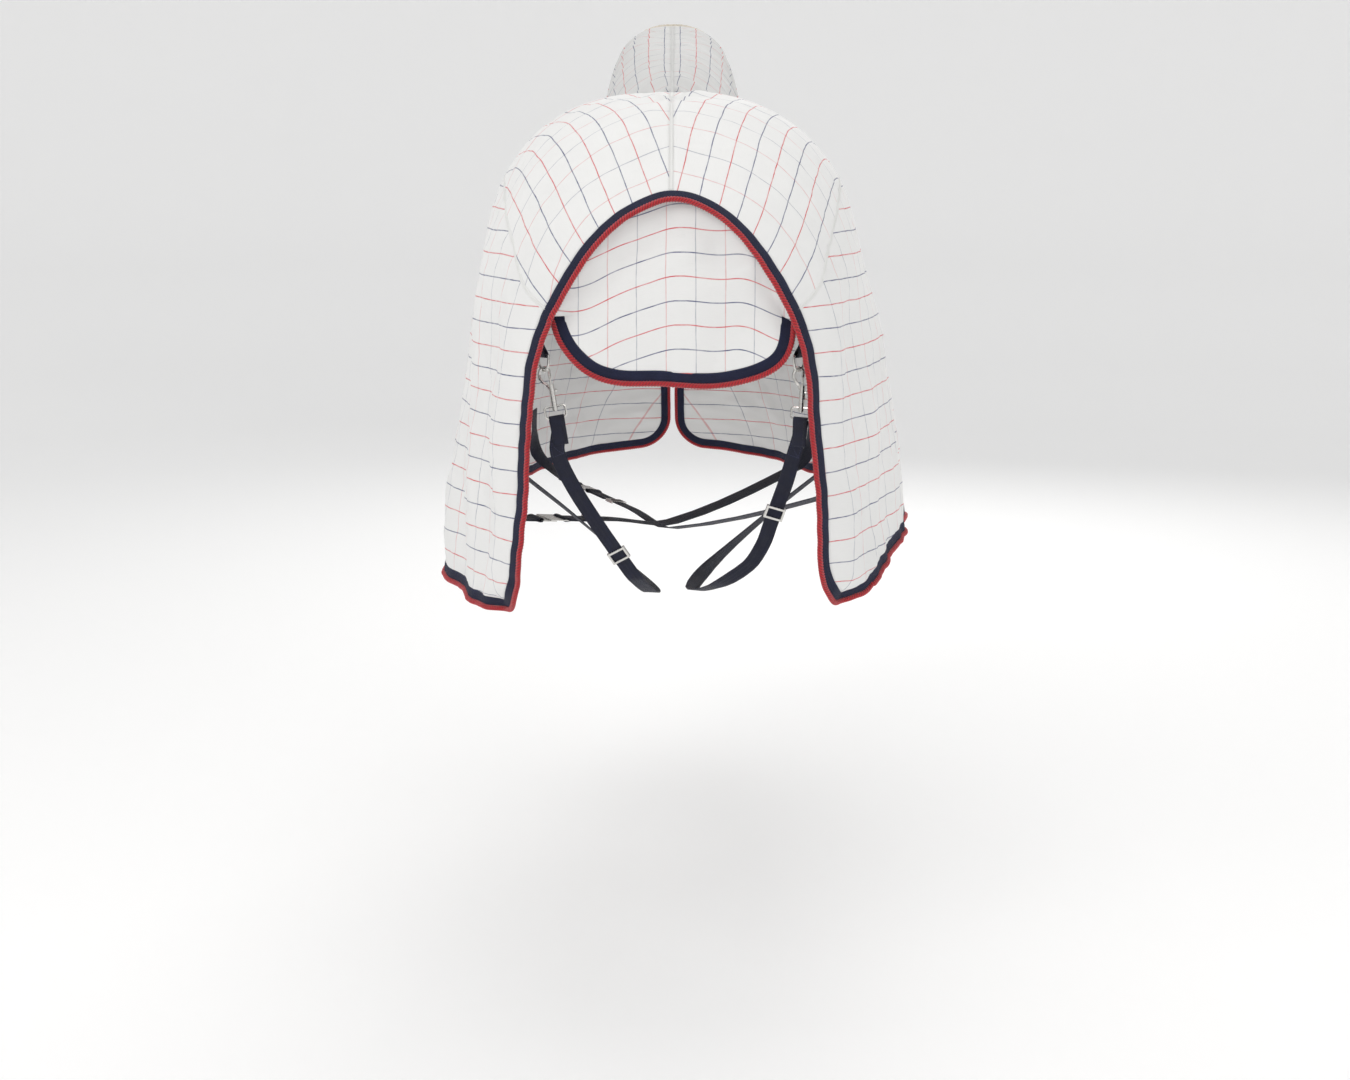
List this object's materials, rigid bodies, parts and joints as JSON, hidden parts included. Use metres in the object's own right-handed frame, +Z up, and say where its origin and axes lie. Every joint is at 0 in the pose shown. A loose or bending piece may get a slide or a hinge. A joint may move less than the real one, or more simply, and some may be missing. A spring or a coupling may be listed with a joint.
{
  "type": "horse fly sheet",
  "caption": "Horse fly sheet with attached neck cover, tail flap, leg straps, chest buckles and belly surcingles, shaped as worn.",
  "frame": {"origin": "under the middle of the wither pad, where the sheet rests on the horse's back", "axes": "+Y towards the horse's head, +X to the horse's right, +Z up"},
  "size_m": [0.8653, 2.0679, 1.1585],
  "materials": {
    "white_check_cloth": "white woven cotton with thin red and navy checks",
    "navy_binding": "navy herringbone braid",
    "red_rope": "red twisted cord",
    "navy_webbing": "navy polypropylene webbing",
    "nickel_plated_steel": "nickel plating",
    "cream_fleece": "cream fleece"
  },
  "bodies": {
    "sheet": {"arch_binding": "navy_binding", "arch_rope": "red_rope", "body_panel_left": "white_check_cloth", "body_panel_right": "white_check_cloth", "chest_buckle_lower": "nickel_plated_steel", "chest_buckle_upper": "nickel_plated_steel", "chest_strap_lower": "navy_webbing", "chest_strap_upper": "navy_webbing", "chest_tab_lower": "navy_webbing", "chest_tab_upper": "navy_webbing", "girth_hook_front": "nickel_plated_steel", "girth_hook_rear": "nickel_plated_steel", "girth_long_front": "navy_webbing", "girth_long_rear": "navy_webbing", "girth_plate_front": "nickel_plated_steel", "girth_plate_rear": "nickel_plated_steel", "girth_short_front": "navy_webbing", "girth_short_rear": "navy_webbing", "hem_left_binding": "navy_binding", "hem_left_rope": "red_rope", "hem_right_binding": "navy_binding", "hem_right_rope": "red_rope", "leg_strap_left": "navy_webbing", "leg_strap_right": "navy_webbing", "neck_panel_left": "white_check_cloth", "neck_panel_right": "white_check_cloth", "poll_binding": "cream_fleece", "poll_fleece": "cream_fleece", "poll_rope": "cream_fleece", "ring_tab_left": "navy_webbing", "ring_tab_right": "navy_webbing", "snap_eye_left": "nickel_plated_steel", "snap_eye_right": "nickel_plated_steel", "tail_gusset": "white_check_cloth", "throat_left_binding": "navy_binding", "throat_left_rope": "red_rope", "throat_right_binding": "navy_binding", "throat_right_rope": "red_rope", "wither_pad": "cream_fleece"},
    "tail_flap": {"tail_flap": "white_check_cloth", "flap_binding": "navy_binding", "flap_rope": "red_rope"},
    "ring_left": {"d_ring_left": "nickel_plated_steel"},
    "hook_left": {"snap_hook_left": "nickel_plated_steel"},
    "bolt_left": {"snap_bolt_left": "nickel_plated_steel"},
    "leg_slider_left": {"leg_slider_left": "nickel_plated_steel"},
    "ring_right": {"d_ring_right": "nickel_plated_steel"},
    "hook_right": {"snap_hook_right": "nickel_plated_steel"},
    "bolt_right": {"snap_bolt_right": "nickel_plated_steel"},
    "leg_slider_right": {"leg_slider_right": "nickel_plated_steel"},
    "tongue_upper": {"chest_tongue_upper": "nickel_plated_steel"},
    "tongue_lower": {"chest_tongue_lower": "nickel_plated_steel"},
    "throat_tab_low": {"throat_tab_low": "navy_webbing"},
    "throat_tab_middle": {"throat_tab_middle": "navy_webbing"},
    "throat_tab_high": {"throat_tab_high": "navy_webbing"},
    "girth_slider_front": {"girth_slider_front": "nickel_plated_steel"},
    "girth_slider_rear": {"girth_slider_rear": "nickel_plated_steel"}
  },
  "joints": [
    {"name": "tail_flap_lift", "type": "hinge", "parent": "sheet", "child": "tail_flap", "pos_m": [0.016, -1.181, -0.3674], "axis": [-1, 0, 0], "range_deg": [0, 16]},
    {"name": "ring_swing_left", "type": "hinge", "parent": "sheet", "child": "ring_left", "pos_m": [-0.206, -1.164, -0.4314], "axis": [-0.5646, 0.8253, 0], "range_deg": [-3, 0]},
    {"name": "hook_swivel_left", "type": "hinge", "parent": "sheet", "child": "hook_left", "pos_m": [-0.18952, -1.16367, -0.51172], "axis": [-0.157, 0.0299, 0.9871], "range_deg": [0, 15]},
    {"name": "bolt_slide_left", "type": "slide", "parent": "hook_left", "child": "bolt_left", "axis": [0.157, -0.0299, -0.9871], "range_m": [0, 0.009], "stiffness_N_per_m": 200, "springref_m": -0.002},
    {"name": "leg_slider_travel_left", "type": "slide", "parent": "sheet", "child": "leg_slider_left", "axis": [0.5088, 0.2799, -0.8141], "range_m": [-0.012, 0.012]},
    {"name": "ring_swing_right", "type": "hinge", "parent": "sheet", "child": "ring_right", "pos_m": [0.206, -1.164, -0.4314], "axis": [0.5646, 0.8253, 0], "range_deg": [-3, 0]},
    {"name": "hook_swivel_right", "type": "hinge", "parent": "sheet", "child": "hook_right", "pos_m": [0.21046, -1.16954, -0.51372], "axis": [0.0454, 0.0303, 0.9985], "range_deg": [-12, 12]},
    {"name": "bolt_slide_right", "type": "slide", "parent": "hook_right", "child": "bolt_right", "axis": [-0.0454, -0.0303, -0.9985], "range_m": [0, 0.009], "stiffness_N_per_m": 200, "springref_m": -0.002},
    {"name": "leg_slider_travel_right", "type": "slide", "parent": "sheet", "child": "leg_slider_right", "axis": [-0.2988, 0.249, -0.9213], "range_m": [-0.012, 0.012]},
    {"name": "tongue_lift_upper", "type": "hinge", "parent": "sheet", "child": "tongue_upper", "pos_m": [0.11092, 0.44419, -0.41586], "axis": [0.3668, -0.0185, -0.9301], "range_deg": [0, 5]},
    {"name": "tongue_lift_lower", "type": "hinge", "parent": "sheet", "child": "tongue_lower", "pos_m": [0.09872, 0.47593, -0.58887], "axis": [0.1344, 0.1968, -0.9712], "range_deg": [0, 5]},
    {"name": "throat_tab_peel_low", "type": "hinge", "parent": "sheet", "child": "throat_tab_low", "pos_m": [-0.12152, 0.48917, -0.32447], "axis": [0, 0.7472, 0.6646], "range_deg": [0, 80]},
    {"name": "throat_tab_peel_middle", "type": "hinge", "parent": "sheet", "child": "throat_tab_middle", "pos_m": [-0.11278, 0.60624, -0.23704], "axis": [0, 0.7437, 0.6685], "range_deg": [0, 80]},
    {"name": "throat_tab_peel_high", "type": "hinge", "parent": "sheet", "child": "throat_tab_high", "pos_m": [-0.10428, 0.74153, -0.13225], "axis": [0, 0.7413, 0.6711], "range_deg": [0, 80]},
    {"name": "girth_slider_travel_front", "type": "slide", "parent": "sheet", "child": "girth_slider_front", "axis": [0.6672, -0.7226, -0.1806], "range_m": [-0.012, 0.02]},
    {"name": "girth_slider_travel_rear", "type": "slide", "parent": "sheet", "child": "girth_slider_rear", "axis": [0.7437, 0.6553, -0.1322], "range_m": [-0.012, 0.02]}
  ]
}
